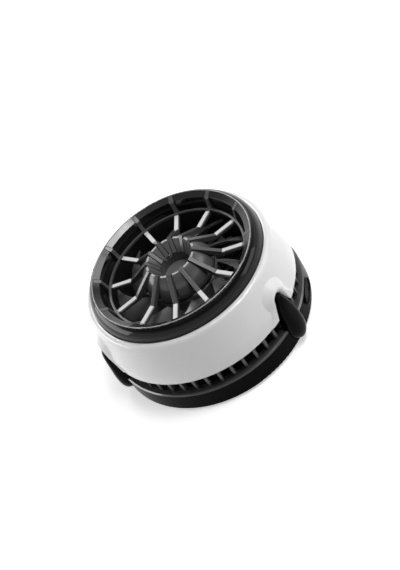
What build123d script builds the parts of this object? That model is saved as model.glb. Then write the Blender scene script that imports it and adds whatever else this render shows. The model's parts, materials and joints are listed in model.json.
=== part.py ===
from build123d import *
from math import atan, cos, degrees, radians, sin, sqrt, tan
import os

# Round phone cooler: a fan head over a finned heat sink, a thermoelectric plate and a magnetic base.
# Millimetres. The origin is the centre of the cold face that lies on the phone, and +Z is the fan's axis.

os.makedirs("parts", exist_ok=True)

# Heights above the cold face
pad_thickness = 0.6
floor_thickness = 1.2
base_top_z = 7.6
vent_height = 5.8
crest_z = 32.9

# Black base
base_radius = 32.8
base_wall = 1.6
base_seat_width = 0.8
base_seat_depth = 1.0
base_top_chamfer = 0.45
base_bottom_fillet = 0.5

# White shell round the fan
shell_setback_width = 0.35
shell_wall = 1.6
shell_skirt_height = 3.6
shell_top_inset_width = 2.35
shell_top_drop = 4.3
shell_shoulder_fillet = 1.3
shell_waist_fillet = 14.0
shell_seat_width = 1.3
shell_seat_depth = 1.4
shell_seat_thickness = 1.2

# Black bezel at the top
bezel_inset_width = 1.75
bezel_slope_width = 2.35
bezel_drop = 4.2
bezel_bulge_height = 0.5
crest_bead_width = 0.36
crest_bead_height = 0.2
crest_groove_width = 0.22
crest_groove_depth = 0.25
bezel_wall = 1.2
band_width = 2.0
band_drop = 1.25
root_notch_depth = 1.3
root_notch_gap = 0.1

# Grille in the intake
spoke_count = 12
spoke_phase = 4.5
spoke_width = 1.3
spoke_depth = 1.4
spoke_drop = 4.85
ring_inset_width = 1.65
ring_thickness = 0.7
leg_thickness = 0.75
root_sink_depth = 0.2
root_foot_width = 1.25
ring_slot_gap = 0.05
inlay_inset_width = 0.95
inlay_length = 6.3
inlay_thickness = 0.5

# Hub in the middle of the grille
rim_radius = 7.67
rim_rise_height = 0.1
well_radius = 4.8
well_depth = 7.55
well_wall = 0.9
well_floor = 0.8
crater_drop = 4.15
petal_skirt_radius = 11.7
petal_drop = 6.5
petal_thickness = 1.0
petal_sink_depth = 0.75
petal_gap = 0.2
petal_skirt_height = 1.2
disc_thickness = 0.4

# Fan: rotor, motor and the frame that carries them
duct_inset_width = 0.6
duct_wall = 1.0
frame_thickness = 1.2
seat_inset_width = 0.65
strut_count = 4
strut_width = 2.0
tip_clearance = 0.8
hub_inset_width = 0.25
hub_wall = 1.1
hub_top_thickness = 1.0
hub_drop = 9.1
hub_edge_fillet = 0.5
blade_count = 9
blade_phase = -57.0
blade_sweep = 42.0
blade_thickness = 0.8
blade_root_chord = 5.0
blade_tip_chord = 9.6
blade_camber_depth = 0.9
blade_inset_height = 0.4
rotor_clearance = 0.6
motor_board_thickness = 0.6
shaft_radius = 1.0
running_gap = 0.04
bearing_wall = 1.4
bearing_length = 6.0
tube_wall = 0.65
thrust_thickness = 0.3
clip_thickness = 0.3
clip_width = 0.9
groove_depth = 0.25
yoke_thickness = 0.55
rotor_magnet_thickness = 1.2
rotor_magnet_length = 5.0
air_gap = 0.3
core_height = 3.8
core_ring_width = 1.45
tooth_count = 6
tooth_width = 1.6
tooth_shoe_thickness = 0.8
tooth_shoe_angle = 44.0
coil_overhang_height = 0.9
coil_width = 3.8
coil_gap = 0.2
assembly_gap = 0.05

# Vents between the shell and the base
vent_fin_count = 48
vent_fin_thickness = 0.9
vent_fin_depth = 1.5
vent_rim_height = 1.0

# Claws on the base and the hoods over them
claw_count = 3
claw_azimuth = -55.5
claw_top_z = 20.2
claw_bottom_z = 0.8
claw_stand_out_width = 2.4
claw_half_width = 4.2
claw_gap = 0.4
claw_peg_radius = 1.2
claw_peg_height = 4.2
claw_height_shares = (0.0, 0.052, 0.19, 0.366, 0.577, 0.763, 0.923, 1.0)
claw_reach_shares = (0.5, 0.78, 0.98, 0.99, 0.89, 0.79, 0.6, 0.33)
claw_width_shares = (0.3, 0.55, 0.9, 0.89, 0.76, 0.58, 0.32, 0.16)
claw_front_shares = (0.12, 0.2, 0.36, 0.52, 0.62, 0.5, 0.34, 0.16)
claw_shoulder_share = 0.88
notch_half_width = 3.9
notch_top_radius = 1.7
notch_flare_width = 1.2
notch_flare_depth = 0.8
hood_rim_width = 1.5
hood_foot_swell_height = 0.2
hood_swell_height = 1.35
hood_fade_height = 4.6
hood_root_depth = 0.05
hood_taper = 52.0

# Heat sink, thermoelectric plate and cold plate
cold_plate_gap = 0.2
cold_flange_width = 1.6
cold_flange_thickness = 0.8
ceramic_thickness = 0.7
pellet_height = 1.8
pellet_rows = 7
pellet_side = 1.6
pellet_margin_width = 2.1
foam_gap = 0.2
sink_post_gap = 0.4
sink_base_thickness = 1.6
sink_fin_count = 40
sink_fin_thickness = 0.5
sink_fin_inner_radius = 9.5
sink_fan_gap = 0.3
sink_screw_radius = 0.8
sink_screw_count = 4
sink_screw_margin_width = 3.0
sink_screw_head_radius = 1.5
sink_screw_head_height = 1.0
sink_screw_bite_depth = 1.6
screw_clearance = 0.15

# Magnets in the base
magnet_width = 3.8
magnet_thickness = 1.8
magnet_side_gap = 0.3
magnet_places = 16
magnet_gap_angle = 1.0
magnets_left_out = 4
keeper_thickness = 0.4
contact_ring_margin_width = 1.4
contact_ring_gap = 0.5

# Screws that hold the shell, the fan frame and the base together
post_count = 3
post_phase = 4.5
post_radius = 1.9
case_screw_radius = 0.7
case_screw_head_radius = 1.25
case_screw_head_height = 1.0
case_screw_head_sink_depth = 0.3
case_screw_bite_depth = 4.6
boss_height = 6.0
boss_rib_width = 1.4

# Control board and charging socket
port_azimuth = -32.3
board_span = 60.0
board_lift_height = 0.9
board_inner_gap = 0.6
board_edge_gap = 0.1
board_pad_margin_width = 0.8
board_thickness = 0.7
socket_width = 8.94
socket_height = 3.16
socket_wall = 0.3
socket_length = 7.2
socket_recess_depth = 0.15
tongue_width = 6.7
tongue_thickness = 0.7
tongue_length = 4.4
socket_back_thickness = 1.6
surround_wall = 0.5
surround_end_wall = 0.15
surround_rise_height = 0.3
surround_gap = 0.12
chip_side = 3.0
chip_height = 0.9
chip_angle = -15.0
inductor_side = 3.2
inductor_height = 2.4
inductor_corner_radius = 0.64
inductor_angle = 15.0
capacitor_side = 1.1
capacitor_height = 1.3
capacitor_count = 3
capacitor_angle = 16.0
capacitor_pitch = 2.4
capacitor_margin_width = 1.4
part_margin_width = 2.9

# Leads inside
lead_radius = 0.4
lead_pitch = 1.0
fan_lead_azimuth = -8.0
fan_lead_bend_radius = 0.8
fan_lead_margin_width = 1.25
lead_hole_gap = 0.35
peltier_lead_margin_width = 2.8
peltier_lead_bend_radius = 0.7
peltier_lead_run_length = 2.6

# One overrun serves every cut that runs past a face
overrun_length = 1.0

# Levels that follow from the sizes above
base_bottom_z = pad_thickness
floor_top_z = base_bottom_z + floor_thickness
shell_bottom_z = base_top_z + vent_height
shell_top_z = crest_z - shell_top_drop
seat_z = shell_top_z - shell_seat_depth
band_inner_z = crest_z - band_drop
spoke_z = crest_z - spoke_drop
rim_z = crest_z + rim_rise_height
crater_z = crest_z - crater_drop
disc_top_z = crest_z - well_depth
petal_base_z = crest_z - petal_drop
hub_top_z = crest_z - hub_drop
frame_top_z = shell_bottom_z + frame_thickness
duct_top_z = petal_base_z - leg_thickness / 2
motor_board_top_z = frame_top_z + motor_board_thickness
rotor_bottom_z = motor_board_top_z + rotor_clearance
plate_top_z = floor_top_z + cold_flange_thickness
ceramic_top_z = plate_top_z + ceramic_thickness
pellet_top_z = ceramic_top_z + pellet_height
sink_bottom_z = pellet_top_z + ceramic_thickness
sink_base_top_z = sink_bottom_z + sink_base_thickness
sink_top_z = shell_bottom_z - sink_fan_gap
board_bottom_z = floor_top_z + board_lift_height
board_top_z = board_bottom_z + board_thickness
socket_z = board_top_z + socket_height / 2
base_seat_z = base_top_z - base_seat_depth
waist_z = shell_bottom_z + shell_skirt_height

# Radii that follow, from the base inwards
base_inner_radius = base_radius - base_wall
base_lower_radius = base_inner_radius - base_seat_width
shell_radius = base_radius - shell_setback_width
shell_inner = shell_radius - shell_wall
shell_top_radius = shell_radius - shell_top_inset_width
bezel_radius = shell_top_radius - bezel_inset_width
crest_radius = bezel_radius - bezel_slope_width
bead_inner_radius = crest_radius - crest_bead_width / 2
bead_outer_radius = crest_radius + crest_bead_width / 2
intake_radius = crest_radius - band_width
ring_radius = intake_radius - ring_inset_width
root_foot_radius = intake_radius - root_foot_width
inlay_outer_radius = ring_radius - inlay_inset_width
inlay_inner_radius = inlay_outer_radius - inlay_length
duct_radius = intake_radius - duct_inset_width
blade_tip_radius = duct_radius - tip_clearance
hub_radius = petal_skirt_radius - hub_inset_width
seat_radius = hub_radius - seat_inset_width
vent_outer_radius = base_inner_radius - assembly_gap
vent_inner = vent_outer_radius - vent_fin_depth
post_circle = vent_inner - post_radius - assembly_gap
sink_radius = post_circle - post_radius - sink_post_gap
magnet_outer_radius = post_circle - post_radius - magnet_side_gap
magnet_inner_radius = magnet_outer_radius - magnet_width
flange_radius = magnet_inner_radius - magnet_side_gap
cold_plate_radius = flange_radius - cold_flange_width
board_inner_radius = flange_radius + board_inner_gap
board_outer = base_lower_radius - board_edge_gap
part_circle = board_outer - part_margin_width
capacitor_circle = board_inner_radius + capacitor_margin_width
fan_lead_fall_radius = vent_inner - fan_lead_margin_width

# The thermoelectric plate is the square that the cold plate's circle holds
peltier_side = sqrt(2) * cold_plate_radius
pellet_pitch = (peltier_side - pellet_side - 2 * pellet_margin_width) / (pellet_rows - 1)
sink_screw_circle = peltier_side / 2 + sink_screw_margin_width
peltier_lead_offset = peltier_side / 2 - peltier_lead_margin_width
peltier_lead_reach = board_inner_radius + peltier_lead_run_length


def upright(azimuth):
    """Upright plane through the axis: x runs outwards and y runs up."""
    turn = radians(azimuth)
    return Plane(origin=(0, 0, 0), x_dir=(cos(turn), sin(turn), 0), z_dir=(sin(turn), -cos(turn), 0))


def facing(azimuth, radius, height):
    """Plane that faces outwards at a radius: x runs round the object and y runs up."""
    turn = radians(azimuth)
    spot = (radius * cos(turn), radius * sin(turn), height)
    return Plane(origin=spot, x_dir=(-sin(turn), cos(turn), 0), z_dir=(cos(turn), sin(turn), 0))


def level(azimuth, height):
    """Level plane at a height whose x axis points outwards at an azimuth."""
    turn = radians(azimuth)
    return Plane(origin=(0, 0, height), x_dir=(cos(turn), sin(turn), 0), z_dir=(0, 0, 1))


def around(count, phase):
    """Azimuths of evenly spaced copies."""
    return [phase + step * 360 / count for step in range(count)]


def turned(outline):
    """Solid of revolution from an outline of (radius, height) points."""
    with BuildPart() as body:
        with BuildSketch(Plane.XZ):
            with BuildLine():
                Polyline(*outline, close=True)
            make_face()
        revolve(axis=Axis.Z)
    return body


def tube_ring(inner, outer, low, high):
    """Plain ring with a rectangular section."""
    return turned([(inner, low), (outer, low), (outer, high), (inner, high)])


def outer_rims(body, least_radius):
    """Circular edges of a turned body that are wider than a radius."""
    circles = body.edges().filter_by(GeomType.CIRCLE)
    return circles.filter_by(lambda edge: edge.radius > least_radius)


def shell_surface(height):
    """Outer radius of the white shell at a height, with its two corners left sharp."""
    if height <= waist_z:
        return shell_radius
    fall = (height - waist_z) / (shell_top_z - waist_z)
    return shell_radius + fall * (shell_top_radius - shell_radius)


seat_radius_outer = bezel_radius + surround_gap
seat_radius_inner = seat_radius_outer - shell_seat_width

# Three raised hoods: arches with a soft slope round them, highest above the notches
arch_z = claw_top_z + claw_gap - notch_top_radius
notch_top_z = arch_z + notch_top_radius
hood_top_z = notch_top_z + hood_rim_width + hood_fade_height
hood_radius = shell_surface(hood_top_z) - hood_root_depth
hood_face_radius = shell_surface(notch_top_z) + hood_swell_height
hood_depth = hood_face_radius - hood_radius
hood_spread = hood_rim_width + hood_depth * tan(radians(hood_taper))
hood_foot_half_width = notch_half_width + hood_spread
hood_foot_top_radius = notch_top_radius + hood_spread


def arch(half_width, top_radius, foot_z):
    """Closed outline of an arch that stands at foot_z and narrows to its rounded top."""
    Polyline(
        (-top_radius, arch_z),
        (-half_width, shell_bottom_z),
        (-half_width, foot_z),
        (half_width, foot_z),
        (half_width, shell_bottom_z),
        (top_radius, arch_z),
    )
    ThreePointArc((-top_radius, arch_z), (0, arch_z + top_radius), (top_radius, arch_z))


with BuildPart() as hoods:
    for azimuth in around(claw_count, claw_azimuth):
        with BuildSketch(facing(azimuth, hood_radius, 0)):
            with BuildLine():
                arch(hood_foot_half_width, hood_foot_top_radius, shell_bottom_z - hood_spread)
            make_face()
        extrude(amount=hood_depth, taper=hood_taper)
    with BuildSketch(Plane.XZ):
        with BuildLine():
            Spline(
                (shell_radius + hood_foot_swell_height, shell_bottom_z),
                (shell_radius + (hood_foot_swell_height + hood_face_radius - shell_radius) / 2, waist_z),
                (hood_face_radius, notch_top_z - notch_top_radius / 2),
                (shell_surface(hood_top_z) - hood_root_depth, hood_top_z),
            )
            Polyline(
                (shell_surface(hood_top_z) - hood_root_depth, hood_top_z),
                (shell_surface(hood_top_z) - shell_wall / 2, hood_top_z),
                (shell_radius - shell_wall / 2, waist_z),
                (shell_radius - shell_wall / 2, shell_bottom_z),
                (shell_radius + hood_foot_swell_height, shell_bottom_z),
            )
        make_face()
    revolve(axis=Axis.Z, mode=Mode.INTERSECT)

# White shell: a turned wall with the hoods, three arched notches and three screw bosses
with BuildPart() as head_shell:
    with BuildSketch(Plane.XZ):
        with BuildLine():
            outer_line = FilletPolyline(
                (seat_radius_outer, shell_top_z),
                (shell_top_radius, shell_top_z),
                (shell_radius, waist_z),
                (shell_radius, shell_bottom_z),
                radius=[shell_shoulder_fillet, shell_waist_fillet],
            )
            Polyline(
                outer_line @ 1,
                (shell_inner, shell_bottom_z),
                (shell_inner, waist_z),
                (shell_top_radius - shell_wall, seat_z - shell_seat_thickness),
                (seat_radius_inner, seat_z - shell_seat_thickness),
                (seat_radius_inner, seat_z),
                (seat_radius_outer, seat_z),
                outer_line @ 0,
            )
        make_face()
    revolve(axis=Axis.Z)
    add(hoods.part)
    for azimuth in around(claw_count, claw_azimuth):
        with BuildSketch(facing(azimuth, shell_inner - overrun_length, 0)):
            with BuildLine():
                arch(notch_half_width, notch_top_radius, shell_bottom_z - overrun_length)
            make_face()
        extrude(amount=shell_wall + 2 * hood_swell_height + overrun_length, mode=Mode.SUBTRACT)
        with BuildSketch(facing(azimuth, hood_face_radius - notch_flare_depth, 0)):
            with BuildLine():
                arch(notch_half_width, notch_top_radius, shell_bottom_z - overrun_length)
            make_face()
        extrude(amount=notch_flare_depth, taper=-degrees(atan(notch_flare_width / notch_flare_depth)),
                mode=Mode.SUBTRACT)
    for azimuth in around(post_count, post_phase):
        with BuildSketch(level(azimuth, frame_top_z)):
            with Locations((post_circle, 0)):
                Circle(post_radius)
            with Locations((post_circle + post_radius, 0)):
                Rectangle(2 * post_radius, boss_rib_width)
        extrude(amount=boss_height)
        with BuildSketch(level(azimuth, frame_top_z)):
            with Locations((post_circle, 0)):
                Circle(case_screw_radius)
        extrude(amount=case_screw_bite_depth, mode=Mode.SUBTRACT)

head_shell.part.label = "head_shell"
export_step(head_shell.part, "parts/head_shell.step")

# Bezel: a convex black ring, hollow underneath, with a notch in its top band for each spoke's root
bezel_low_z = crest_z - bezel_drop
bead_foot_z = crest_z - crest_bead_height
slope_inner_radius = bead_outer_radius + crest_groove_width
slope_top_z = bead_foot_z - crest_groove_width / 2
with BuildPart() as bezel_ring:
    with BuildSketch(Plane.XZ):
        with BuildLine():
            slope_middle = (
                (crest_radius + bezel_radius) / 2 + bezel_bulge_height,
                (crest_z + bezel_low_z) / 2 + bezel_bulge_height,
            )
            Polyline(
                (bezel_radius, bezel_low_z),
                (bezel_radius, seat_z),
                (bezel_radius - bezel_wall, seat_z),
                (bezel_radius - bezel_wall, bezel_low_z),
                (crest_radius, crest_z - 2 * bezel_wall),
                (intake_radius + bezel_wall, crest_z - 2 * bezel_wall),
                (intake_radius + bezel_wall, duct_top_z),
                (intake_radius, duct_top_z),
                (intake_radius, band_inner_z),
                (bead_inner_radius, bead_foot_z),
            )
            ThreePointArc(
                (bead_inner_radius, bead_foot_z),
                (crest_radius, crest_z),
                (bead_outer_radius, bead_foot_z),
            )
            Polyline(
                (bead_outer_radius, bead_foot_z),
                (bead_outer_radius, slope_top_z - crest_groove_depth),
                (slope_inner_radius, slope_top_z - crest_groove_depth),
                (slope_inner_radius, slope_top_z),
            )
            ThreePointArc((slope_inner_radius, slope_top_z), slope_middle, (bezel_radius, bezel_low_z))
        make_face()
    revolve(axis=Axis.Z)
    for azimuth in around(spoke_count, spoke_phase):
        with BuildSketch(upright(azimuth)):
            with BuildLine():
                Polyline(
                    (intake_radius - overrun_length, band_inner_z - root_notch_depth),
                    (intake_radius, band_inner_z - root_notch_depth),
                    (bead_inner_radius, crest_z - root_notch_depth),
                    (bead_inner_radius, crest_z + overrun_length),
                    (intake_radius - overrun_length, crest_z + overrun_length),
                    close=True,
                )
            make_face()
        extrude(amount=spoke_width / 2 + root_notch_gap, both=True, mode=Mode.SUBTRACT)

bezel_ring.part.label = "bezel_ring"
export_step(bezel_ring.part, "parts/bezel_ring.step")

# Spokes: twelve cranked bars from the bezel's notches to the hub, slotted on top for the tie ring
leg_outer = intake_radius - assembly_gap
cup_outer = well_radius + well_wall
cup_top_z = crater_z - petal_sink_depth / 2
petal_foot_z = cup_top_z - petal_sink_depth
root_outer = bead_inner_radius - root_notch_gap
spoke_under_z = spoke_z - spoke_depth
ring_slot_low = spoke_z - ring_thickness - ring_slot_gap
ring_slot_inner = ring_radius - ring_thickness / 2 - ring_slot_gap
ring_slot_outer = ring_radius + ring_thickness / 2 + ring_slot_gap
spoke_outline = [
    (root_outer, crest_z - root_sink_depth),
    (intake_radius - leg_thickness / 2, band_inner_z - root_sink_depth),
    (root_foot_radius, spoke_z),
    (ring_slot_outer, spoke_z),
    (ring_slot_outer, ring_slot_low),
    (ring_slot_inner, ring_slot_low),
    (ring_slot_inner, spoke_z),
    (inlay_outer_radius, spoke_z),
    (inlay_outer_radius, spoke_z - inlay_thickness),
    (inlay_inner_radius, spoke_z - inlay_thickness),
    (inlay_inner_radius, spoke_z),
    (rim_radius, rim_z),
    (well_radius, crater_z),
    (well_radius, petal_foot_z),
    (cup_outer, petal_foot_z),
    (rim_radius, rim_z - spoke_depth - petal_thickness),
    (inlay_inner_radius - spoke_depth / 2, spoke_under_z),
    (leg_outer, spoke_under_z),
    (leg_outer, band_inner_z - root_notch_depth + root_notch_gap),
    (root_outer, crest_z - root_notch_depth + root_notch_gap),
]

with BuildPart() as grille_spokes:
    for azimuth in around(spoke_count, spoke_phase):
        with BuildSketch(upright(azimuth)):
            with BuildLine():
                Polyline(*spoke_outline, close=True)
            make_face()
        extrude(amount=spoke_width / 2, both=True)

grille_spokes.part.label = "grille_spokes"
export_step(grille_spokes.part, "parts/grille_spokes.step")

# Thin ring that lies in the spokes' slots
tie_ring = tube_ring(
    ring_radius - ring_thickness / 2, ring_radius + ring_thickness / 2, spoke_z - ring_thickness, spoke_z
)
tie_ring.part.label = "tie_ring"
export_step(tie_ring.part, "parts/tie_ring.step")

# Cup under the crater, with the spokes' inner ends and the petals standing on its rim
hub_cup = turned([
    (0, disc_top_z - disc_thickness),
    (0, disc_top_z - disc_thickness - well_floor),
    (cup_outer, disc_top_z - disc_thickness - well_floor),
    (cup_outer, petal_foot_z),
    (well_radius, petal_foot_z),
    (well_radius, disc_top_z - disc_thickness),
])
hub_cup.part.label = "hub_cup"
export_step(hub_cup.part, "parts/hub_cup.step")

# Pale inlays, one in the level stretch of each spoke
with BuildPart() as spoke_inlays:
    for azimuth in around(spoke_count, spoke_phase):
        with BuildSketch(upright(azimuth)):
            with BuildLine():
                Polyline(
                    (inlay_inner_radius, spoke_z - inlay_thickness),
                    (inlay_outer_radius, spoke_z - inlay_thickness),
                    (inlay_outer_radius, spoke_z),
                    (inlay_inner_radius, spoke_z),
                    close=True,
                )
            make_face()
        extrude(amount=spoke_width / 2, both=True)

spoke_inlays.part.label = "spoke_inlays"
export_step(spoke_inlays.part, "parts/spoke_inlays.step")

# Hub cover: twelve petals round the crater, slotted for the spokes and joined by a skirt under them
petal_rim_z = rim_z - petal_sink_depth
with BuildPart() as hub_petals:
    with BuildSketch(Plane.XZ):
        with BuildLine():
            Polyline(
                (well_radius, petal_foot_z),
                (well_radius, crater_z - petal_sink_depth / 2),
                (rim_radius - petal_thickness / 2, petal_rim_z),
                (rim_radius + petal_thickness / 4, petal_rim_z),
            )
            shoulder = (
                (rim_radius + petal_skirt_radius) / 2 + petal_thickness / 2,
                (petal_rim_z + petal_base_z) / 2 + petal_thickness / 2,
            )
            ThreePointArc(
                (rim_radius + petal_thickness / 4, petal_rim_z), shoulder, (petal_skirt_radius, petal_base_z)
            )
            Polyline(
                (petal_skirt_radius, petal_base_z),
                (petal_skirt_radius, petal_base_z - petal_skirt_height),
                (petal_skirt_radius - petal_thickness, petal_base_z - petal_skirt_height),
                (petal_skirt_radius - petal_thickness, petal_base_z),
                (rim_radius + petal_thickness / 4, petal_rim_z - 2 * petal_thickness),
                (cup_outer, petal_foot_z + petal_thickness),
                (cup_outer, petal_foot_z),
                (well_radius, petal_foot_z),
            )
        make_face()
    revolve(axis=Axis.Z)
    for azimuth in around(spoke_count, spoke_phase):
        with BuildSketch(level(azimuth, petal_base_z - petal_gap)):
            with Locations((petal_skirt_radius / 2, 0)):
                Rectangle(petal_skirt_radius + overrun_length, spoke_width + 2 * petal_gap)
        extrude(amount=petal_drop + overrun_length, mode=Mode.SUBTRACT)

hub_petals.part.label = "hub_petals"
export_step(hub_petals.part, "parts/hub_petals.step")

# Plain disc at the bottom of the well
hub_disc = tube_ring(0, well_radius - assembly_gap, disc_top_z - disc_thickness, disc_top_z)
hub_disc.part.label = "hub_disc"
export_step(hub_disc.part, "parts/hub_disc.step")

# Fan frame: motor seat and bearing tube on four struts, in a duct with a flange for the case screws
bearing_outer = shaft_radius + running_gap + bearing_wall
tube_inner = bearing_outer + assembly_gap
tube_outer = tube_inner + tube_wall
pocket_floor_z = shell_bottom_z + frame_thickness / 2
thrust_top_z = pocket_floor_z + thrust_thickness
clip_low_z = thrust_top_z + thrust_thickness
bearing_low_z = clip_low_z + 2 * clip_thickness
bearing_top_z = bearing_low_z + bearing_length
tube_top_z = bearing_top_z + assembly_gap
flange_outer = vent_outer_radius - vent_fin_depth - 2 * assembly_gap
lead_z = frame_top_z + lead_radius
lead_slot = lead_radius + lead_hole_gap

with BuildPart() as fan_frame:
    with BuildSketch(Plane.XY.offset(shell_bottom_z)):
        Circle(flange_outer)
        Circle(duct_radius, mode=Mode.SUBTRACT)
        Circle(seat_radius)
        with PolarLocations((duct_radius + seat_radius) / 2, strut_count, start_angle=fan_lead_azimuth):
            Rectangle(duct_radius - seat_radius + overrun_length, strut_width)
    extrude(amount=frame_thickness)
    with BuildSketch(Plane.XY.offset(frame_top_z)):
        Circle(duct_radius + duct_wall)
        Circle(duct_radius, mode=Mode.SUBTRACT)
    extrude(amount=duct_top_z - frame_top_z)
    with BuildSketch(Plane.XY.offset(frame_top_z)):
        Circle(tube_outer)
    extrude(amount=tube_top_z - frame_top_z)
    with BuildSketch(Plane.XY.offset(pocket_floor_z)):
        Circle(tube_inner)
    extrude(amount=tube_top_z - pocket_floor_z, mode=Mode.SUBTRACT)
    with BuildSketch(Plane.XY.offset(shell_bottom_z)):
        with PolarLocations(post_circle, post_count, start_angle=post_phase):
            Circle(case_screw_radius + screw_clearance)
    extrude(amount=frame_thickness, mode=Mode.SUBTRACT)
    with BuildSketch(level(fan_lead_azimuth, shell_bottom_z)):
        with Locations((fan_lead_fall_radius, 0)):
            SlotOverall(lead_pitch + 2 * lead_slot, 2 * lead_slot, rotation=90)
    extrude(amount=frame_thickness, mode=Mode.SUBTRACT)
    with BuildSketch(facing(fan_lead_azimuth, duct_radius - overrun_length, lead_z)):
        Rectangle(lead_pitch + 2 * lead_slot, 2 * lead_radius + lead_hole_gap)
    extrude(amount=duct_wall + 2 * overrun_length, mode=Mode.SUBTRACT)

fan_frame.part.label = "fan_frame"
export_step(fan_frame.part, "parts/fan_frame.step")

# Rotor: a cup with swept blades, pressed on the shaft, with its steel yoke and ring magnet
yoke_outer = hub_radius - hub_wall - assembly_gap
yoke_inner = yoke_outer - yoke_thickness
magnet_ring_outer = yoke_inner - assembly_gap
magnet_ring_inner = magnet_ring_outer - rotor_magnet_thickness
cup_ceiling_z = hub_top_z - hub_top_thickness
yoke_low_z = rotor_bottom_z + clip_thickness
yoke_ceiling_z = cup_ceiling_z - yoke_thickness
boss_radius = 2 * shaft_radius + clip_thickness
boss_low_z = cup_ceiling_z - 2 * yoke_thickness
shaft_top_z = hub_top_z - hub_top_thickness / 2
blade_top_z = hub_top_z - blade_inset_height
blade_low_z = rotor_bottom_z + blade_inset_height
blade_middle_z = (blade_top_z + blade_low_z) / 2

with BuildPart() as impeller:
    for azimuth in around(blade_count, blade_phase):
        for reach in (0, 1 / 2, 1):
            radius = hub_radius - hub_wall + reach * (duct_radius + overrun_length - hub_radius + hub_wall)
            chord = blade_root_chord + reach * (blade_tip_chord - blade_root_chord)
            lift = blade_thickness / 2
            with BuildSketch(facing(azimuth - reach * blade_sweep, radius, 0)):
                with BuildLine():
                    ThreePointArc(
                        (0, blade_top_z),
                        (chord / 2 + blade_camber_depth, blade_middle_z + blade_camber_depth),
                        (chord, blade_low_z),
                    )
                    Line((chord, blade_low_z), (chord - blade_thickness, blade_low_z))
                    ThreePointArc(
                        (chord - blade_thickness, blade_low_z),
                        (chord / 2 + blade_camber_depth - lift, blade_middle_z + blade_camber_depth - lift),
                        (0, blade_top_z - blade_thickness),
                    )
                    Line((0, blade_top_z - blade_thickness), (0, blade_top_z))
                make_face()
        loft()
    with BuildSketch(Plane.XY.offset(rotor_bottom_z - overrun_length)):
        Circle(blade_tip_radius)
    extrude(amount=hub_top_z - rotor_bottom_z + 2 * overrun_length, mode=Mode.INTERSECT)
    with BuildSketch(Plane.XZ):
        with BuildLine():
            cup_line = FilletPolyline(
                (hub_radius, rotor_bottom_z),
                (hub_radius, hub_top_z),
                (0, hub_top_z),
                radius=hub_edge_fillet,
            )
            Polyline(
                cup_line @ 1,
                (0, shaft_top_z),
                (shaft_radius, shaft_top_z),
                (shaft_radius, boss_low_z),
                (boss_radius, boss_low_z),
                (boss_radius, cup_ceiling_z),
                (hub_radius - hub_wall, cup_ceiling_z),
                (hub_radius - hub_wall, rotor_bottom_z),
                cup_line @ 0,
            )
        make_face()
    revolve(axis=Axis.Z)
    with BuildSketch(Plane.XY.offset(rotor_bottom_z)):
        Circle(hub_radius - hub_wall)
        Circle(boss_radius, mode=Mode.SUBTRACT)
    extrude(amount=cup_ceiling_z - rotor_bottom_z, mode=Mode.SUBTRACT)

impeller.part.label = "impeller"
export_step(impeller.part, "parts/impeller.step")

rotor_yoke = turned([
    (boss_radius + assembly_gap, yoke_ceiling_z),
    (yoke_inner, yoke_ceiling_z),
    (yoke_inner, yoke_low_z),
    (yoke_outer, yoke_low_z),
    (yoke_outer, cup_ceiling_z),
    (boss_radius + assembly_gap, cup_ceiling_z),
])
rotor_yoke.part.label = "rotor_yoke"
export_step(rotor_yoke.part, "parts/rotor_yoke.step")

magnet_low_z = yoke_low_z + clip_thickness
magnet_high_z = magnet_low_z + rotor_magnet_length
rotor_magnet = tube_ring(magnet_ring_inner, magnet_ring_outer, magnet_low_z, magnet_high_z)
rotor_magnet.part.label = "rotor_magnet"
export_step(rotor_magnet.part, "parts/rotor_magnet.step")

shaft = turned([
    (0, thrust_top_z),
    (shaft_radius, thrust_top_z),
    (shaft_radius, clip_low_z),
    (shaft_radius - groove_depth, clip_low_z),
    (shaft_radius - groove_depth, clip_low_z + clip_thickness),
    (shaft_radius, clip_low_z + clip_thickness),
    (shaft_radius, shaft_top_z),
    (0, shaft_top_z),
])
shaft.part.label = "shaft"
export_step(shaft.part, "parts/shaft.step")

groove_radius = shaft_radius - groove_depth
shaft_clip = tube_ring(groove_radius, groove_radius + clip_width, clip_low_z, clip_low_z + clip_thickness)
shaft_clip.part.label = "shaft_clip"
export_step(shaft_clip.part, "parts/shaft_clip.step")

# Bearing, thrust washer, stator and motor board stay on the frame
bearing = tube_ring(shaft_radius + running_gap, bearing_outer, bearing_low_z, bearing_top_z)
bearing.part.label = "bearing"
export_step(bearing.part, "parts/bearing.step")

thrust_washer = tube_ring(0, bearing_outer, pocket_floor_z, thrust_top_z)
thrust_washer.part.label = "thrust_washer"
export_step(thrust_washer.part, "parts/thrust_washer.step")

core_inner = tube_outer + assembly_gap
core_low_z = magnet_low_z + (rotor_magnet_length - core_height) / 2
shoe_outer = magnet_ring_inner - air_gap
shoe_inner = shoe_outer - tooth_shoe_thickness
with BuildPart() as stator_core:
    with BuildSketch(Plane.XY.offset(core_low_z)):
        Circle(core_inner + core_ring_width)
        with PolarLocations((core_inner + shoe_outer) / 2, tooth_count):
            Rectangle(shoe_outer - core_inner - tooth_shoe_thickness, tooth_width)
        for azimuth in around(tooth_count, 0):
            with BuildLine():
                start = azimuth - tooth_shoe_angle / 2
                outer_arc = CenterArc((0, 0), shoe_outer, start, tooth_shoe_angle)
                inner_arc = CenterArc((0, 0), shoe_inner, start, tooth_shoe_angle)
                Line(outer_arc @ 0, inner_arc @ 0)
                Line(outer_arc @ 1, inner_arc @ 1)
            make_face()
        Circle(core_inner, mode=Mode.SUBTRACT)
    extrude(amount=core_height)

stator_core.part.label = "stator_core"
export_step(stator_core.part, "parts/stator_core.step")

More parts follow.
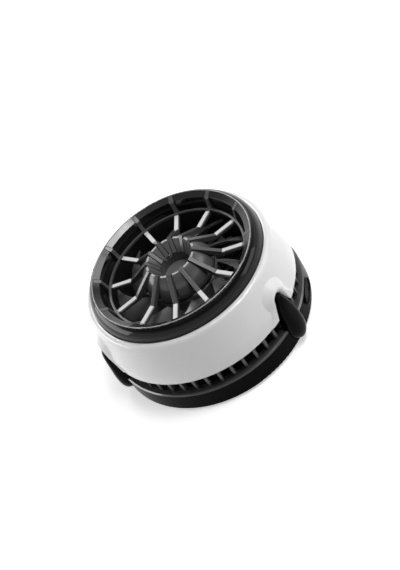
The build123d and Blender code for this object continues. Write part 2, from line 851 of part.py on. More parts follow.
coil_inner = core_inner + core_ring_width + coil_gap
coil_outer = sqrt(shoe_inner ** 2 - (coil_width / 2) ** 2) - coil_gap
with BuildPart() as stator_coils:
    with BuildSketch(Plane.XY.offset(core_low_z - coil_overhang_height)):
        with PolarLocations((coil_inner + coil_outer) / 2, tooth_count):
            Rectangle(coil_outer - coil_inner, coil_width)
    extrude(amount=core_height + 2 * coil_overhang_height)
    with BuildSketch(Plane.XY.offset(core_low_z - assembly_gap)):
        with PolarLocations((coil_inner + coil_outer) / 2, tooth_count):
            Rectangle(coil_outer - coil_inner, tooth_width + 2 * assembly_gap)
    extrude(amount=core_height + 2 * assembly_gap, mode=Mode.SUBTRACT)

stator_coils.part.label = "stator_coils"
export_step(stator_coils.part, "parts/stator_coils.step")

motor_board_radius = seat_radius - rotor_clearance
motor_board = tube_ring(tube_outer + assembly_gap, motor_board_radius, frame_top_z, motor_board_top_z)
motor_board.part.label = "motor_board"
export_step(motor_board.part, "parts/motor_board.step")

# Vent ring: forty-eight upright fins between a rim in the base and a rim in the shell
upper_rim_outer = shell_inner - assembly_gap
with BuildPart() as vent_ring:
    with BuildSketch(Plane.XY.offset(base_top_z - vent_rim_height)):
        Circle(vent_outer_radius)
        Circle(vent_inner, mode=Mode.SUBTRACT)
    extrude(amount=vent_rim_height)
    with BuildSketch(Plane.XY.offset(shell_bottom_z)):
        Circle(upper_rim_outer)
        Circle(vent_inner, mode=Mode.SUBTRACT)
    extrude(amount=vent_rim_height)
    with BuildSketch(Plane.XY.offset(base_top_z)):
        with PolarLocations(vent_inner + vent_fin_depth / 2, vent_fin_count):
            Rectangle(vent_fin_depth, vent_fin_thickness)
    extrude(amount=vent_height)

vent_ring.part.label = "vent_ring"
export_step(vent_ring.part, "parts/vent_ring.step")

# Base: floor with the cold plate's window, a stepped wall, three posts and the socket's opening
surround_width = socket_width + 2 * (surround_gap + surround_end_wall)
surround_height = socket_height + 2 * (surround_gap + surround_wall)
with BuildPart() as base_housing:
    with BuildSketch(Plane.XZ):
        with BuildLine():
            Polyline(
                (cold_plate_radius + cold_plate_gap, base_bottom_z),
                (base_radius, base_bottom_z),
                (base_radius, base_top_z),
                (base_inner_radius, base_top_z),
                (base_inner_radius, base_seat_z),
                (base_lower_radius, base_seat_z),
                (base_lower_radius, floor_top_z),
                (cold_plate_radius + cold_plate_gap, floor_top_z),
                close=True,
            )
        make_face()
    revolve(axis=Axis.Z)
    rims = outer_rims(base_housing, base_inner_radius + base_wall / 2)
    fillet(rims.group_by(Axis.Z)[0], base_bottom_fillet)
    rims = outer_rims(base_housing, base_inner_radius + base_wall / 2)
    chamfer(rims.group_by(Axis.Z)[-1], base_top_chamfer)
    with BuildSketch(Plane.XY.offset(floor_top_z)):
        with PolarLocations(post_circle, post_count, start_angle=post_phase):
            Circle(post_radius)
    extrude(amount=shell_bottom_z - floor_top_z)
    with BuildSketch(Plane.XY.offset(base_bottom_z)):
        with PolarLocations(post_circle, post_count, start_angle=post_phase):
            Circle(case_screw_radius + screw_clearance)
    extrude(amount=shell_bottom_z - base_bottom_z, mode=Mode.SUBTRACT)
    with BuildSketch(Plane.XY.offset(base_bottom_z)):
        with PolarLocations(post_circle, post_count, start_angle=post_phase):
            Circle(case_screw_head_radius + screw_clearance / 2)
    extrude(amount=case_screw_head_sink_depth + case_screw_head_height, mode=Mode.SUBTRACT)
    with BuildSketch(facing(port_azimuth, base_lower_radius - overrun_length, socket_z)):
        SlotOverall(surround_width, surround_height)
    extrude(amount=base_radius - base_lower_radius + 2 * overrun_length, mode=Mode.SUBTRACT)
    for azimuth in around(claw_count, claw_azimuth):
        with BuildSketch(facing(azimuth, base_lower_radius - overrun_length, claw_peg_height)):
            Circle(claw_peg_radius)
        extrude(amount=base_radius - base_lower_radius + 2 * overrun_length, mode=Mode.SUBTRACT)

base_housing.part.label = "base_housing"
export_step(base_housing.part, "parts/base_housing.step")

# Claws: rounded horns that stand on the base's side and reach up into the notches
claw_back = vent_outer_radius + assembly_gap
claw_span = base_radius + claw_stand_out_width - claw_back
for number, azimuth in enumerate(around(claw_count, claw_azimuth), start=1):
    with BuildPart() as claw:
        for rise, reach, root_width, front_width in zip(
            claw_height_shares, claw_reach_shares, claw_width_shares, claw_front_shares
        ):
            height = claw_bottom_z + rise * (claw_top_z - claw_bottom_z)
            out = claw_back + reach * claw_span
            shoulder = claw_back + claw_shoulder_share * reach * claw_span
            side = root_width * claw_half_width
            front = front_width * claw_half_width
            with BuildSketch(level(azimuth, height)):
                with BuildLine():
                    Line((claw_back - overrun_length, side), (claw_back - overrun_length, -side))
                    Bezier((claw_back - overrun_length, -side), (shoulder, -side), (out, -front), (out, 0))
                    Bezier((out, 0), (out, front), (shoulder, side), (claw_back - overrun_length, side))
                make_face()
        loft()
        with BuildSketch(Plane.XZ):
            with BuildLine():
                Polyline(
                    (0, base_bottom_z - overrun_length),
                    (base_radius, base_bottom_z - overrun_length),
                    (base_radius, base_top_z - base_top_chamfer),
                    (base_radius - base_top_chamfer, base_top_z),
                    (claw_back, base_top_z),
                    (claw_back, claw_top_z + overrun_length),
                    (0, claw_top_z + overrun_length),
                    close=True,
                )
            make_face()
        revolve(axis=Axis.Z, mode=Mode.SUBTRACT)
        with BuildSketch(facing(azimuth, base_lower_radius, claw_peg_height)):
            Circle(claw_peg_radius)
        extrude(amount=base_radius - base_lower_radius + overrun_length)
    claw.part.label = f"claw_{number}"
    export_step(claw.part, f"parts/claw_{number}.step")

# Cold plate, thermoelectric module and foam seal
tec = level(port_azimuth, plate_top_z)
with BuildPart() as cold_plate:
    with BuildSketch(Plane.XY):
        Circle(cold_plate_radius)
    extrude(amount=plate_top_z)
    with BuildSketch(Plane.XY.offset(floor_top_z)):
        Circle(flange_radius)
    extrude(amount=cold_flange_thickness)
    with BuildSketch(tec):
        with PolarLocations(sink_screw_circle, sink_screw_count):
            Circle(sink_screw_radius)
    extrude(amount=-sink_screw_bite_depth, mode=Mode.SUBTRACT)

cold_plate.part.label = "cold_plate"
export_step(cold_plate.part, "parts/cold_plate.step")

with BuildPart() as peltier_cold_ceramic:
    with BuildSketch(tec):
        Rectangle(peltier_side, peltier_side)
    extrude(amount=ceramic_thickness)

peltier_cold_ceramic.part.label = "peltier_cold_ceramic"
export_step(peltier_cold_ceramic.part, "parts/peltier_cold_ceramic.step")

with BuildPart() as peltier_pellets:
    with BuildSketch(level(port_azimuth, ceramic_top_z)):
        with GridLocations(pellet_pitch, pellet_pitch, pellet_rows, pellet_rows):
            Rectangle(pellet_side, pellet_side)
    extrude(amount=pellet_height)

peltier_pellets.part.label = "peltier_pellets"
export_step(peltier_pellets.part, "parts/peltier_pellets.step")

with BuildPart() as peltier_hot_ceramic:
    with BuildSketch(level(port_azimuth, pellet_top_z)):
        Rectangle(peltier_side, peltier_side)
    extrude(amount=ceramic_thickness)

peltier_hot_ceramic.part.label = "peltier_hot_ceramic"
export_step(peltier_hot_ceramic.part, "parts/peltier_hot_ceramic.step")

peltier_lead_z = ceramic_top_z + pellet_height / 2
with BuildPart() as foam_seal:
    with BuildSketch(tec):
        Circle(flange_radius)
        Rectangle(peltier_side + 2 * foam_gap, peltier_side + 2 * foam_gap, mode=Mode.SUBTRACT)
        with PolarLocations(sink_screw_circle, sink_screw_count):
            Circle(sink_screw_radius + screw_clearance, mode=Mode.SUBTRACT)
    extrude(amount=sink_bottom_z - plate_top_z)
    with BuildSketch(facing(port_azimuth, peltier_side / 2, peltier_lead_z)):
        with Locations((peltier_lead_offset, 0), (-peltier_lead_offset, 0)):
            Circle(lead_slot)
    extrude(amount=flange_radius, mode=Mode.SUBTRACT)

foam_seal.part.label = "foam_seal"
export_step(foam_seal.part, "parts/foam_seal.step")

# Heat sink with radial fins, and the four screws that clamp it to the cold plate
with BuildPart() as heat_sink:
    with BuildSketch(Plane.XY.offset(sink_bottom_z)):
        Circle(sink_radius)
    extrude(amount=sink_base_thickness)
    with BuildSketch(Plane.XY.offset(sink_base_top_z)):
        with PolarLocations((sink_fin_inner_radius + sink_radius) / 2, sink_fin_count):
            Rectangle(sink_radius - sink_fin_inner_radius - sink_fin_thickness, sink_fin_thickness)
    extrude(amount=sink_top_z - sink_base_top_z)
    with BuildSketch(level(port_azimuth, sink_base_top_z)):
        with PolarLocations(sink_screw_circle, sink_screw_count):
            Circle(sink_screw_head_radius + 2 * screw_clearance)
    extrude(amount=sink_top_z - sink_base_top_z, mode=Mode.SUBTRACT)
    with BuildSketch(level(port_azimuth, sink_bottom_z)):
        with PolarLocations(sink_screw_circle, sink_screw_count):
            Circle(sink_screw_radius + screw_clearance)
    extrude(amount=sink_base_thickness, mode=Mode.SUBTRACT)

heat_sink.part.label = "heat_sink"
export_step(heat_sink.part, "parts/heat_sink.step")

with BuildPart() as heat_sink_screws:
    with BuildSketch(level(port_azimuth, plate_top_z - sink_screw_bite_depth)):
        with PolarLocations(sink_screw_circle, sink_screw_count):
            Circle(sink_screw_radius)
    extrude(amount=sink_base_top_z - plate_top_z + sink_screw_bite_depth)
    with BuildSketch(level(port_azimuth, sink_base_top_z)):
        with PolarLocations(sink_screw_circle, sink_screw_count):
            Circle(sink_screw_head_radius)
    extrude(amount=sink_screw_head_height)
    with BuildSketch(level(port_azimuth, sink_base_top_z + sink_screw_head_height)):
        with PolarLocations(sink_screw_circle, sink_screw_count):
            Rectangle(sink_screw_head_radius, sink_screw_radius / 2)
    extrude(amount=-sink_screw_head_height / 2, mode=Mode.SUBTRACT)

heat_sink_screws.part.label = "heat_sink_screws"
export_step(heat_sink_screws.part, "parts/heat_sink_screws.step")

# Magnets in an open ring, their keeper and the soft ring that grips the phone
magnet_step = 360 / magnet_places
magnets_kept = magnet_places - magnets_left_out
first_magnet = port_azimuth + (magnets_left_out + 1) * magnet_step / 2
with BuildPart() as phone_magnets:
    for place in range(magnets_kept):
        middle = first_magnet + place * magnet_step
        start = middle - magnet_step / 2 + magnet_gap_angle / 2
        with BuildSketch(Plane.XY.offset(floor_top_z)):
            with BuildLine():
                outer_arc = CenterArc((0, 0), magnet_outer_radius, start, magnet_step - magnet_gap_angle)
                inner_arc = CenterArc((0, 0), magnet_inner_radius, start, magnet_step - magnet_gap_angle)
                Line(outer_arc @ 0, inner_arc @ 0)
                Line(outer_arc @ 1, inner_arc @ 1)
            make_face()
        extrude(amount=magnet_thickness)

phone_magnets.part.label = "phone_magnets"
export_step(phone_magnets.part, "parts/phone_magnets.step")

with BuildPart() as magnet_keeper:
    with BuildSketch(Plane.XY.offset(floor_top_z + magnet_thickness)):
        with BuildLine():
            start = first_magnet - magnet_step / 2
            outer_arc = CenterArc((0, 0), magnet_outer_radius, start, magnets_kept * magnet_step)
            inner_arc = CenterArc((0, 0), magnet_inner_radius, start, magnets_kept * magnet_step)
            Line(outer_arc @ 0, inner_arc @ 0)
            Line(outer_arc @ 1, inner_arc @ 1)
        make_face()
    extrude(amount=keeper_thickness)

magnet_keeper.part.label = "magnet_keeper"
export_step(magnet_keeper.part, "parts/magnet_keeper.step")

contact_ring_inner = cold_plate_radius + cold_plate_gap + contact_ring_gap
contact_ring = tube_ring(contact_ring_inner, base_radius - contact_ring_margin_width, 0, pad_thickness)
contact_ring.part.label = "contact_ring"
export_step(contact_ring.part, "parts/contact_ring.step")

# Three long screws through the base's posts and the fan frame into the shell
with BuildPart() as case_screws:
    head_low_z = base_bottom_z + case_screw_head_sink_depth
    with BuildSketch(Plane.XY.offset(head_low_z)):
        with PolarLocations(post_circle, post_count, start_angle=post_phase):
            Circle(case_screw_head_radius)
    extrude(amount=case_screw_head_height)
    with BuildSketch(Plane.XY.offset(head_low_z)):
        with PolarLocations(post_circle, post_count, start_angle=post_phase):
            Circle(case_screw_radius)
    extrude(amount=frame_top_z + case_screw_bite_depth - head_low_z)
    with BuildSketch(Plane.XY.offset(head_low_z)):
        with PolarLocations(post_circle, post_count, start_angle=post_phase):
            Rectangle(case_screw_head_radius, case_screw_radius / 2)
            Rectangle(case_screw_radius / 2, case_screw_head_radius)
    extrude(amount=case_screw_head_height / 2, mode=Mode.SUBTRACT)

case_screws.part.label = "case_screws"
export_step(case_screws.part, "parts/case_screws.step")

# Control board: a sector of a ring in the magnets' opening, with its parts
board_start = port_azimuth - board_span / 2
with BuildPart() as main_board:
    with BuildSketch(Plane.XY.offset(board_bottom_z)):
        with BuildLine():
            outer_arc = CenterArc((0, 0), board_outer, board_start, board_span)
            inner_arc = CenterArc((0, 0), board_inner_radius, board_start, board_span)
            Line(outer_arc @ 0, inner_arc @ 0)
            Line(outer_arc @ 1, inner_arc @ 1)
        make_face()
    extrude(amount=board_thickness)

main_board.part.label = "main_board"
export_step(main_board.part, "parts/main_board.step")

with BuildPart() as board_pad:
    with BuildSketch(Plane.XY.offset(floor_top_z)):
        with BuildLine():
            outer_arc = CenterArc((0, 0), board_outer - board_pad_margin_width, board_start, board_span)
            inner_arc = CenterArc((0, 0), board_inner_radius, board_start, board_span)
            Line(outer_arc @ 0, inner_arc @ 0)
            Line(outer_arc @ 1, inner_arc @ 1)
        make_face()
    extrude(amount=board_lift_height)

board_pad.part.label = "board_pad"
export_step(board_pad.part, "parts/board_pad.step")

with BuildPart() as controller_chip:
    with BuildSketch(level(port_azimuth + chip_angle, board_top_z)):
        with Locations((part_circle, 0)):
            Rectangle(chip_side, chip_side)
    extrude(amount=chip_height)

controller_chip.part.label = "controller_chip"
export_step(controller_chip.part, "parts/controller_chip.step")

with BuildPart() as power_inductor:
    with BuildSketch(level(port_azimuth + inductor_angle, board_top_z)):
        with Locations((part_circle, 0)):
            RectangleRounded(inductor_side, inductor_side, inductor_corner_radius)
    extrude(amount=inductor_height)

power_inductor.part.label = "power_inductor"
export_step(power_inductor.part, "parts/power_inductor.step")

with BuildPart() as board_capacitors:
    with BuildSketch(level(port_azimuth - capacitor_angle, board_top_z)):
        with Locations((capacitor_circle, 0)):
            with GridLocations(capacitor_side, capacitor_pitch, 1, capacitor_count):
                Rectangle(capacitor_side, capacitor_side)
    extrude(amount=capacitor_height)

board_capacitors.part.label = "board_capacitors"
export_step(board_capacitors.part, "parts/board_capacitors.step")

# Charging socket: steel shell, insulating tongue and the raised rim round it
socket_mouth = base_radius - socket_recess_depth
socket_rear = socket_mouth - socket_length
with BuildPart() as socket_shell:
    with BuildSketch(facing(port_azimuth, socket_rear, socket_z)):
        SlotOverall(socket_width, socket_height)
    extrude(amount=socket_length)
    with BuildSketch(facing(port_azimuth, socket_rear, socket_z)):
        SlotOverall(socket_width - 2 * socket_wall, socket_height - 2 * socket_wall)
    extrude(amount=socket_length, mode=Mode.SUBTRACT)

socket_shell.part.label = "socket_shell"
export_step(socket_shell.part, "parts/socket_shell.step")

with BuildPart() as socket_tongue:
    with BuildSketch(facing(port_azimuth, socket_rear, socket_z)):
        SlotOverall(socket_width - 2 * socket_wall, socket_height - 2 * socket_wall)
    extrude(amount=socket_back_thickness)
    with BuildSketch(facing(port_azimuth, socket_rear, socket_z)):
        Rectangle(tongue_width, tongue_thickness)
    extrude(amount=socket_back_thickness + tongue_length)

socket_tongue.part.label = "socket_tongue"
export_step(socket_tongue.part, "parts/socket_tongue.step")

with BuildPart() as socket_surround:
    with BuildSketch(facing(port_azimuth, base_inner_radius, socket_z)):
        SlotOverall(surround_width - 2 * assembly_gap, surround_height - 2 * assembly_gap)
        SlotOverall(socket_width + 2 * surround_gap, socket_height + 2 * surround_gap, mode=Mode.SUBTRACT)
    extrude(amount=base_radius + surround_rise_height - base_inner_radius)

socket_surround.part.label = "socket_surround"
export_step(socket_surround.part, "parts/socket_surround.step")

# Leads: a pair from the motor board down to the control board, and a pair from the thermoelectric module
fan_lead_start = motor_board_radius
fan_lead_end_z = board_top_z
with BuildPart() as fan_leads:
    for side in (-lead_pitch / 2, lead_pitch / 2):
        with BuildLine(upright(fan_lead_azimuth).offset(side)) as route:
            FilletPolyline(
                (fan_lead_start, lead_z),
                (fan_lead_fall_radius, lead_z),
                (fan_lead_fall_radius, fan_lead_end_z),
                radius=fan_lead_bend_radius,
            )
        with BuildSketch(Plane(origin=route.line @ 0, z_dir=route.line % 0)):
            Circle(lead_radius - assembly_gap / 2)
        sweep(path=route.line)

fan_leads.part.label = "fan_leads"
export_step(fan_leads.part, "parts/fan_leads.step")

with BuildPart() as peltier_leads:
    for side in (-peltier_lead_offset, peltier_lead_offset):
        with BuildLine(upright(port_azimuth).offset(side)) as route:
            FilletPolyline(
                (peltier_side / 2, peltier_lead_z),
                (peltier_lead_reach, peltier_lead_z),
                (peltier_lead_reach, board_top_z),
                radius=peltier_lead_bend_radius,
            )
        with BuildSketch(Plane(origin=route.line @ 0, z_dir=route.line % 0)):
            Circle(lead_radius)
        sweep(path=route.line)

peltier_leads.part.label = "peltier_leads"
export_step(peltier_leads.part, "parts/peltier_leads.step")
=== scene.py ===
import bpy
import json
from math import cos, sin
from mathutils import Matrix, Vector

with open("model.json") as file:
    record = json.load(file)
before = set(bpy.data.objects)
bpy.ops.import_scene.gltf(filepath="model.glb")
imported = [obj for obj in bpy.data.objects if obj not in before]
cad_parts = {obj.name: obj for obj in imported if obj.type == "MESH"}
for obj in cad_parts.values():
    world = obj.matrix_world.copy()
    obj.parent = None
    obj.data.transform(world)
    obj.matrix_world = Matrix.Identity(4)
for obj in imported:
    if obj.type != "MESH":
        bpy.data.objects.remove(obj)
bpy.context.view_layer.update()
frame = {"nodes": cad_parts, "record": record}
nodes = frame["nodes"]
MM = 0.001

# Camera solved from the photograph: 40 degrees above the horizon and rolled by 35 degrees
CREST_HEIGHT = 32.9 * MM
CAMERA_DISTANCE = 298.15 * MM
ELEVATION = 0.699759665
ROLL = 0.618874414
SENSOR_WIDTH = 36.0
LENS = 63.81
PICTURE_HEIGHT = 570
SHIFT_X_PIXELS = 31.567
SHIFT_Y_PIXELS = -29.584
CLIP_START = 0.01
CLIP_END = 20.0

# The base's upper edge, which is painted a lighter grey as a painted highlight: above this height,
# outside this radius and facing up at least this much
LEDGE_LOW = 7.0 * MM
LEDGE_RADIUS = 30.5 * MM
LEDGE_RISE = 0.3

# The bead on the bezel's crest, painted pale grey as a painted highlight; the bezel's inner flank lies
# inside it
BEAD_INNER_RADIUS = 25.75 * MM
BEAD_OUTER_RADIUS = 26.25 * MM
BEAD_LOW = 32.5 * MM

# The floor glows less near the object, where the lamps light it, than far away, where they fade
FLOOR_REACH = 3.0
FLOOR_WHITE = 0.9
FLOOR_ROUGHNESS = 0.9
NEAR_FLOOR = 0.25
FAR_FLOOR = 0.9
NEAR_GLOW = 0.5
FAR_GLOW = 1.0

# The backdrop is white up to the first height of the view's direction and dim from the second
WORLD_STRENGTH = 0.06
WORLD_OVERHEAD = 0.2
FADE_START = 0.3
FADE_END = 0.6

LAMP_TARGET = (0, 0, 0.02)
# Name, place in metres, width, height and power in watts
LAMPS = [
    ("overhead", (-0.05, -0.24, 0.62), 0.6, 0.4, 0.15),
    ("key", (0.25, -0.07, 0.6), 0.32, 0.2, 1.6),
    ("crown", (0.12, -0.07, 0.63), 0.15, 0.12, 0.55),
    ("right", (0.39, 0.18, 0.51), 0.3, 0.25, 0.7),
    ("back", (-0.02, 0.52, 0.49), 0.24, 0.14, 0.9),
    ("left", (-0.62, 0.3, 0.18), 0.63, 0.3, 2.4),
    ("side", (0.62, -0.2, 0.28), 0.4, 0.25, 0.65),
]

# Shares of the mottling's range between which its tint runs, and how much brushing draws it out
TINT_LOW_SHARE = 0.3
TINT_HIGH_SHARE = 0.7
BRUSH_STRETCH = 14.0
MOTTLE_SCALE = 90.0
MOTTLE_DETAIL = 4.0
GRAIN_DETAIL = 3.0
BUMP_DEPTH = 0.02 * MM
EDGE_SAMPLES = 6


def add_camera():
    right = Vector((1, 0, 0))
    forward = Vector((0, cos(ELEVATION), -sin(ELEVATION)))
    up = right.cross(forward)
    turned_right = cos(ROLL) * right - sin(ROLL) * up
    turned_up = sin(ROLL) * right + cos(ROLL) * up
    camera = bpy.data.objects.new("camera", bpy.data.cameras.new("camera"))
    bpy.context.scene.collection.objects.link(camera)
    place = Vector((0, 0, CREST_HEIGHT)) - CAMERA_DISTANCE * forward
    camera.matrix_world = Matrix((
        (turned_right.x, turned_up.x, -forward.x, place.x),
        (turned_right.y, turned_up.y, -forward.y, place.y),
        (turned_right.z, turned_up.z, -forward.z, place.z),
        (0, 0, 0, 1),
    ))
    camera.data.sensor_width = SENSOR_WIDTH
    camera.data.lens = LENS
    camera.data.shift_x = SHIFT_X_PIXELS / PICTURE_HEIGHT
    camera.data.shift_y = SHIFT_Y_PIXELS / PICTURE_HEIGHT
    camera.data.clip_start = CLIP_START
    camera.data.clip_end = CLIP_END
    bpy.context.scene.camera = camera


def link(tree, source, output, target, socket):
    tree.links.new(source.outputs[output], target.inputs[socket])


def surface(name, color, roughness, metallic=0.0, coat=0.0, coat_roughness=0.04, mottle=0.06, grain=0.1,
            grain_scale=3000.0, specular=0.5, rough_spread=0.06, brushed=False, edge=0.0):
    """Principled material with colour mottling, uneven roughness, a fine grain and softened edges.

    The edge is the radius in millimetres over which the shading rounds a sharp edge.
    """
    material = bpy.data.materials.new(name)
    material.use_nodes = True
    tree = material.node_tree
    shader = tree.nodes["Principled BSDF"]
    shader.inputs["Metallic"].default_value = metallic
    shader.inputs["Coat Weight"].default_value = coat
    shader.inputs["Coat Roughness"].default_value = coat_roughness
    shader.inputs["Specular IOR Level"].default_value = specular
    place = tree.nodes.new("ShaderNodeTexCoord")
    stretch = tree.nodes.new("ShaderNodeMapping")
    if brushed:
        stretch.inputs["Scale"].default_value = (1.0, 1.0, BRUSH_STRETCH)
    link(tree, place, "Object", stretch, "Vector")
    clouds = tree.nodes.new("ShaderNodeTexNoise")
    clouds.inputs["Scale"].default_value = MOTTLE_SCALE
    clouds.inputs["Detail"].default_value = MOTTLE_DETAIL
    link(tree, stretch, "Vector", clouds, "Vector")
    tint = tree.nodes.new("ShaderNodeValToRGB")
    tint.color_ramp.elements[0].position = TINT_LOW_SHARE
    tint.color_ramp.elements[1].position = TINT_HIGH_SHARE
    tint.color_ramp.elements[0].color = tuple(c * (1 - mottle) for c in color) + (1,)
    tint.color_ramp.elements[1].color = tuple(min(1.0, c * (1 + mottle)) for c in color) + (1,)
    link(tree, clouds, "Fac", tint, "Fac")
    link(tree, tint, "Color", shader, "Base Color")
    wipe = tree.nodes.new("ShaderNodeMapRange")
    wipe.inputs["To Min"].default_value = max(0.0, roughness - rough_spread)
    wipe.inputs["To Max"].default_value = min(1.0, roughness + rough_spread)
    link(tree, clouds, "Fac", wipe, "Value")
    link(tree, wipe, "Result", shader, "Roughness")
    grit = tree.nodes.new("ShaderNodeTexNoise")
    grit.inputs["Scale"].default_value = grain_scale
    grit.inputs["Detail"].default_value = GRAIN_DETAIL
    link(tree, stretch, "Vector", grit, "Vector")
    bump = tree.nodes.new("ShaderNodeBump")
    bump.inputs["Strength"].default_value = grain
    bump.inputs["Distance"].default_value = BUMP_DEPTH
    link(tree, grit, "Fac", bump, "Height")
    link(tree, bump, "Normal", shader, "Normal")
    if edge > 0:
        rounding = tree.nodes.new("ShaderNodeBevel")
        rounding.samples = EDGE_SAMPLES
        rounding.inputs["Radius"].default_value = edge * MM
        link(tree, rounding, "Normal", bump, "Normal")
        link(tree, rounding, "Normal", shader, "Coat Normal")
    return material


LOOKS = {
    "shell_white": dict(color=(0.86, 0.86, 0.865), roughness=0.24, coat=0.5, coat_roughness=0.14,
                        mottle=0.008, grain=0.02, rough_spread=0.03, edge=0.25),
    "gloss_black": dict(color=(0.003, 0.003, 0.0032), roughness=0.08, grain=0.012, rough_spread=0.02,
                        edge=0.12, specular=0.24),
    "band_black": dict(color=(0.012, 0.012, 0.0122), roughness=0.14, grain=0.02, rough_spread=0.03,
                       edge=0.12, specular=0.8),
    # Painted highlight: the crest bead's pale grey stands for the bright line of light along the
    # bezel's crest
    "bead_painted_highlight": dict(color=(0.34, 0.34, 0.342), roughness=0.2, grain=0.03, specular=0.8),
    "claw_black": dict(color=(0.0015, 0.0015, 0.0016), roughness=0.12, grain=0.012, rough_spread=0.02,
                       edge=0.55, specular=0.04),
    "base_black": dict(color=(0.0015, 0.0015, 0.0016), roughness=0.24, grain=0.08, grain_scale=2200.0,
                       specular=0.025, edge=0.2),
    "surround_black": dict(color=(0.003, 0.003, 0.0032), roughness=0.3, grain=0.03, edge=0.25,
                           specular=0.05),
    "grille_black": dict(color=(0.085, 0.085, 0.086), roughness=0.22, grain=0.06, specular=0.7,
                         edge=0.2),
    "tie_grey": dict(color=(0.085, 0.085, 0.086), roughness=0.3, grain=0.06, edge=0.12, specular=0.3),
    "petal_black": dict(color=(0.1, 0.1, 0.101), roughness=0.2, grain=0.04, edge=0.22),
    "disc_grey": dict(color=(0.13, 0.13, 0.131), roughness=0.42, grain=0.1, edge=0.1),
    "inlay_silver": dict(color=(0.66, 0.66, 0.66), roughness=0.4, mottle=0.05, grain=0.1, edge=0.08),
    "fan_black": dict(color=(0.12, 0.12, 0.122), roughness=0.24, grain=0.05, specular=0.6, edge=0.25),
    "vent_black": dict(color=(0.06, 0.06, 0.061), roughness=0.28, grain=0.08, edge=0.15),
    # Painted highlight: the base's upper edge is painted lighter grey than the black base, for the
    # light it catches
    "ledge_painted_highlight": dict(color=(0.07, 0.07, 0.071), roughness=0.18, grain=0.06, specular=0.9, edge=0.22),
    "frame_black": dict(color=(0.008, 0.008, 0.008), roughness=0.55, grain=0.2),
    "silicone_grey": dict(color=(0.12, 0.12, 0.125), roughness=0.7, grain=0.4),
    "foam_black": dict(color=(0.02, 0.02, 0.02), roughness=0.9, grain=0.9, grain_scale=1500.0),
    "plate_aluminium": dict(color=(0.75, 0.75, 0.76), roughness=0.32, metallic=1.0, grain=0.2,
                            brushed=True),
    "sink_aluminium": dict(color=(0.3, 0.3, 0.31), roughness=0.4, metallic=1.0, grain=0.2,
                           brushed=True),
    "alumina_white": dict(color=(0.85, 0.84, 0.81), roughness=0.6, grain=0.2),
    "pellet_grey": dict(color=(0.3, 0.3, 0.31), roughness=0.5, metallic=0.8, grain=0.4),
    "steel": dict(color=(0.52, 0.52, 0.53), roughness=0.34, metallic=1.0, grain=0.2, brushed=True),
    "shaft_steel": dict(color=(0.7, 0.7, 0.71), roughness=0.15, metallic=1.0, grain=0.05, brushed=True),
    "magnet_nickel": dict(color=(0.66, 0.64, 0.6), roughness=0.2, metallic=1.0, grain=0.08),
    "ferrite": dict(color=(0.05, 0.05, 0.052), roughness=0.6, grain=0.5),
    "copper_wire": dict(color=(0.7, 0.3, 0.14), roughness=0.35, metallic=1.0, grain=0.3),
    "bearing_bronze": dict(color=(0.55, 0.36, 0.18), roughness=0.4, metallic=1.0, grain=0.4),
    "washer_nylon": dict(color=(0.75, 0.73, 0.66), roughness=0.5, grain=0.1),
    "board_green": dict(color=(0.012, 0.11, 0.045), roughness=0.35, mottle=0.15, grain=0.15),
    "chip_black": dict(color=(0.015, 0.015, 0.015), roughness=0.5, grain=0.3),
    "capacitor_tan": dict(color=(0.45, 0.31, 0.17), roughness=0.5, grain=0.2),
    "socket_steel": dict(color=(0.55, 0.55, 0.56), roughness=0.28, metallic=1.0, grain=0.15,
                         brushed=True),
    "tongue_black": dict(color=(0.01, 0.01, 0.011), roughness=0.45, grain=0.1),
    "lead_insulation": dict(color=(0.012, 0.012, 0.013), roughness=0.45, grain=0.1),
}
# Nodes whose finish differs a little from the other pieces of their slot
OWN_FINISH = {
    "hub_petals": "petal_black",
    "vent_ring": "vent_black",
    "tie_ring": "tie_grey",
    "socket_surround": "surround_black",
    "claw_1": "claw_black",
    "claw_2": "claw_black",
    "claw_3": "claw_black",
}
materials = {name: surface(name, **look) for name, look in LOOKS.items()}


def finish_node(name, slot):
    obj = nodes[name]
    obj.data.materials.clear()
    obj.data.materials.append(materials[slot])


for entry in frame["record"]["subparts"]:
    finish_node(entry["node"], OWN_FINISH.get(entry["node"], entry["material_slot"]))


def paint_ledge_highlight():
    """The base's up-facing upper edge, under the vents, is painted lighter grey than its satin side as
    a painted highlight, and is glossier.
    """
    obj = nodes["base_housing"]
    obj.data.materials.append(materials["ledge_painted_highlight"])
    for polygon in obj.data.polygons:
        middle = obj.matrix_world @ polygon.center
        # Painted highlight on the up-facing faces of the base's upper edge
        if middle.z > LEDGE_LOW and polygon.normal.z > LEDGE_RISE and middle.xy.length > LEDGE_RADIUS:
            polygon.material_index = 1


def finish_bezel_and_paint_bead():
    """The bezel's inner flank is glossier than its outer slope, and the bead between them is painted
    pale grey as a painted highlight.
    """
    obj = nodes["bezel_ring"]
    obj.data.materials.append(materials["band_black"])
    obj.data.materials.append(materials["bead_painted_highlight"])
    for polygon in obj.data.polygons:
        middle = obj.matrix_world @ polygon.center
        radius = middle.xy.length
        # Painted highlight on the crest bead's faces
        if middle.z > BEAD_LOW and BEAD_INNER_RADIUS < radius < BEAD_OUTER_RADIUS:
            polygon.material_index = 2
        elif radius < BEAD_INNER_RADIUS:
            polygon.material_index = 1


paint_ledge_highlight()
finish_bezel_and_paint_bead()


def seen_directly(tree):
    """Factor that is 1 for rays of the camera, of gloss and of glass, and 0 for light on the object."""
    path = tree.nodes.new("ShaderNodeLightPath")
    gloss = tree.nodes.new("ShaderNodeMath")
    gloss.operation = "MAXIMUM"
    glass = tree.nodes.new("ShaderNodeMath")
    glass.operation = "MAXIMUM"
    tree.links.new(path.outputs["Is Camera Ray"], gloss.inputs[0])
    tree.links.new(path.outputs["Is Glossy Ray"], gloss.inputs[1])
    tree.links.new(gloss.outputs[0], glass.inputs[0])
    tree.links.new(path.outputs["Is Transmission Ray"], glass.inputs[1])
    return glass.outputs[0]


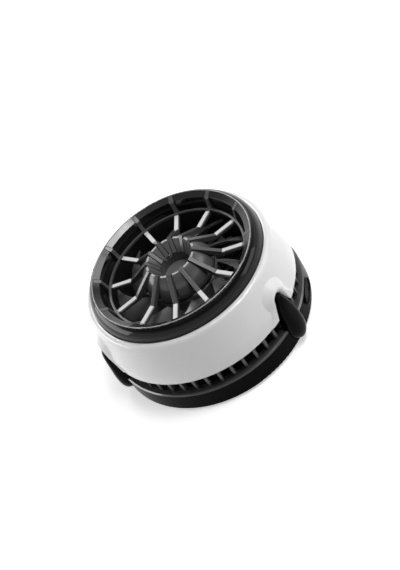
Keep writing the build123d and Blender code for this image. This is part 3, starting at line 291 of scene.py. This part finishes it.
def add_floor():
    """Pale floor that looks white away from the object and keeps its shadow."""
    mesh = bpy.data.meshes.new("floor")
    corners = [(-1, -1), (1, -1), (1, 1), (-1, 1)]
    mesh.from_pydata([(x * FLOOR_REACH, y * FLOOR_REACH, 0) for x, y in corners], [], [(0, 1, 2, 3)])
    floor = bpy.data.objects.new("floor", mesh)
    bpy.context.scene.collection.objects.link(floor)
    material = bpy.data.materials.new("floor")
    material.use_nodes = True
    tree = material.node_tree
    shader = tree.nodes["Principled BSDF"]
    shader.inputs["Base Color"].default_value = (FLOOR_WHITE, FLOOR_WHITE, FLOOR_WHITE, 1)
    shader.inputs["Roughness"].default_value = FLOOR_ROUGHNESS
    place = tree.nodes.new("ShaderNodeTexCoord")
    distance = tree.nodes.new("ShaderNodeVectorMath")
    distance.operation = "LENGTH"
    link(tree, place, "Object", distance, "Vector")
    rise = tree.nodes.new("ShaderNodeMapRange")
    rise.inputs["From Min"].default_value = NEAR_FLOOR
    rise.inputs["From Max"].default_value = FAR_FLOOR
    rise.inputs["To Min"].default_value = NEAR_GLOW
    rise.inputs["To Max"].default_value = FAR_GLOW
    link(tree, distance, "Value", rise, "Value")
    glow = tree.nodes.new("ShaderNodeMath")
    glow.operation = "MULTIPLY"
    link(tree, rise, "Result", glow, 1)
    tree.links.new(seen_directly(tree), glow.inputs[0])
    emission = tree.nodes.new("ShaderNodeEmission")
    emission.inputs["Color"].default_value = (1, 1, 1, 1)
    tree.links.new(glow.outputs[0], emission.inputs["Strength"])
    both = tree.nodes.new("ShaderNodeAddShader")
    tree.links.new(shader.outputs[0], both.inputs[0])
    tree.links.new(emission.outputs[0], both.inputs[1])
    tree.links.new(both.outputs[0], tree.nodes["Material Output"].inputs["Surface"])
    floor.data.materials.append(material)


def add_lamp(name, place, width, height, power):
    data = bpy.data.lights.new(name, "AREA")
    data.shape = "RECTANGLE"
    data.size = width
    data.size_y = height
    data.energy = power
    lamp = bpy.data.objects.new(name, data)
    bpy.context.scene.collection.objects.link(lamp)
    lamp.location = place
    lamp.rotation_euler = (Vector(LAMP_TARGET) - Vector(place)).to_track_quat("-Z", "Y").to_euler()


def add_world():
    """Even light on the object, with a backdrop that is white low down and darker overhead."""
    world = bpy.data.worlds.new("studio")
    bpy.context.scene.world = world
    world.use_nodes = True
    tree = world.node_tree
    background = tree.nodes["Background"]
    background.inputs["Color"].default_value = (1, 1, 1, 1)
    background.inputs["Strength"].default_value = WORLD_STRENGTH
    backdrop = tree.nodes.new("ShaderNodeBackground")
    backdrop.inputs["Strength"].default_value = 1.0
    place = tree.nodes.new("ShaderNodeTexCoord")
    split = tree.nodes.new("ShaderNodeSeparateXYZ")
    link(tree, place, "Generated", split, "Vector")
    fade = tree.nodes.new("ShaderNodeValToRGB")
    fade.color_ramp.elements[0].position = FADE_START
    fade.color_ramp.elements[0].color = (1, 1, 1, 1)
    fade.color_ramp.elements[1].position = FADE_END
    fade.color_ramp.elements[1].color = (WORLD_OVERHEAD, WORLD_OVERHEAD, WORLD_OVERHEAD, 1)
    link(tree, split, "Z", fade, "Fac")
    link(tree, fade, "Color", backdrop, "Color")
    mix = tree.nodes.new("ShaderNodeMixShader")
    tree.links.new(seen_directly(tree), mix.inputs[0])
    tree.links.new(background.outputs[0], mix.inputs[1])
    tree.links.new(backdrop.outputs[0], mix.inputs[2])
    tree.links.new(mix.outputs[0], tree.nodes["World Output"].inputs["Surface"])


add_camera()
add_floor()
add_world()
for lamp_entry in LAMPS:
    add_lamp(*lamp_entry)
bpy.context.scene.view_settings.view_transform = "Standard"
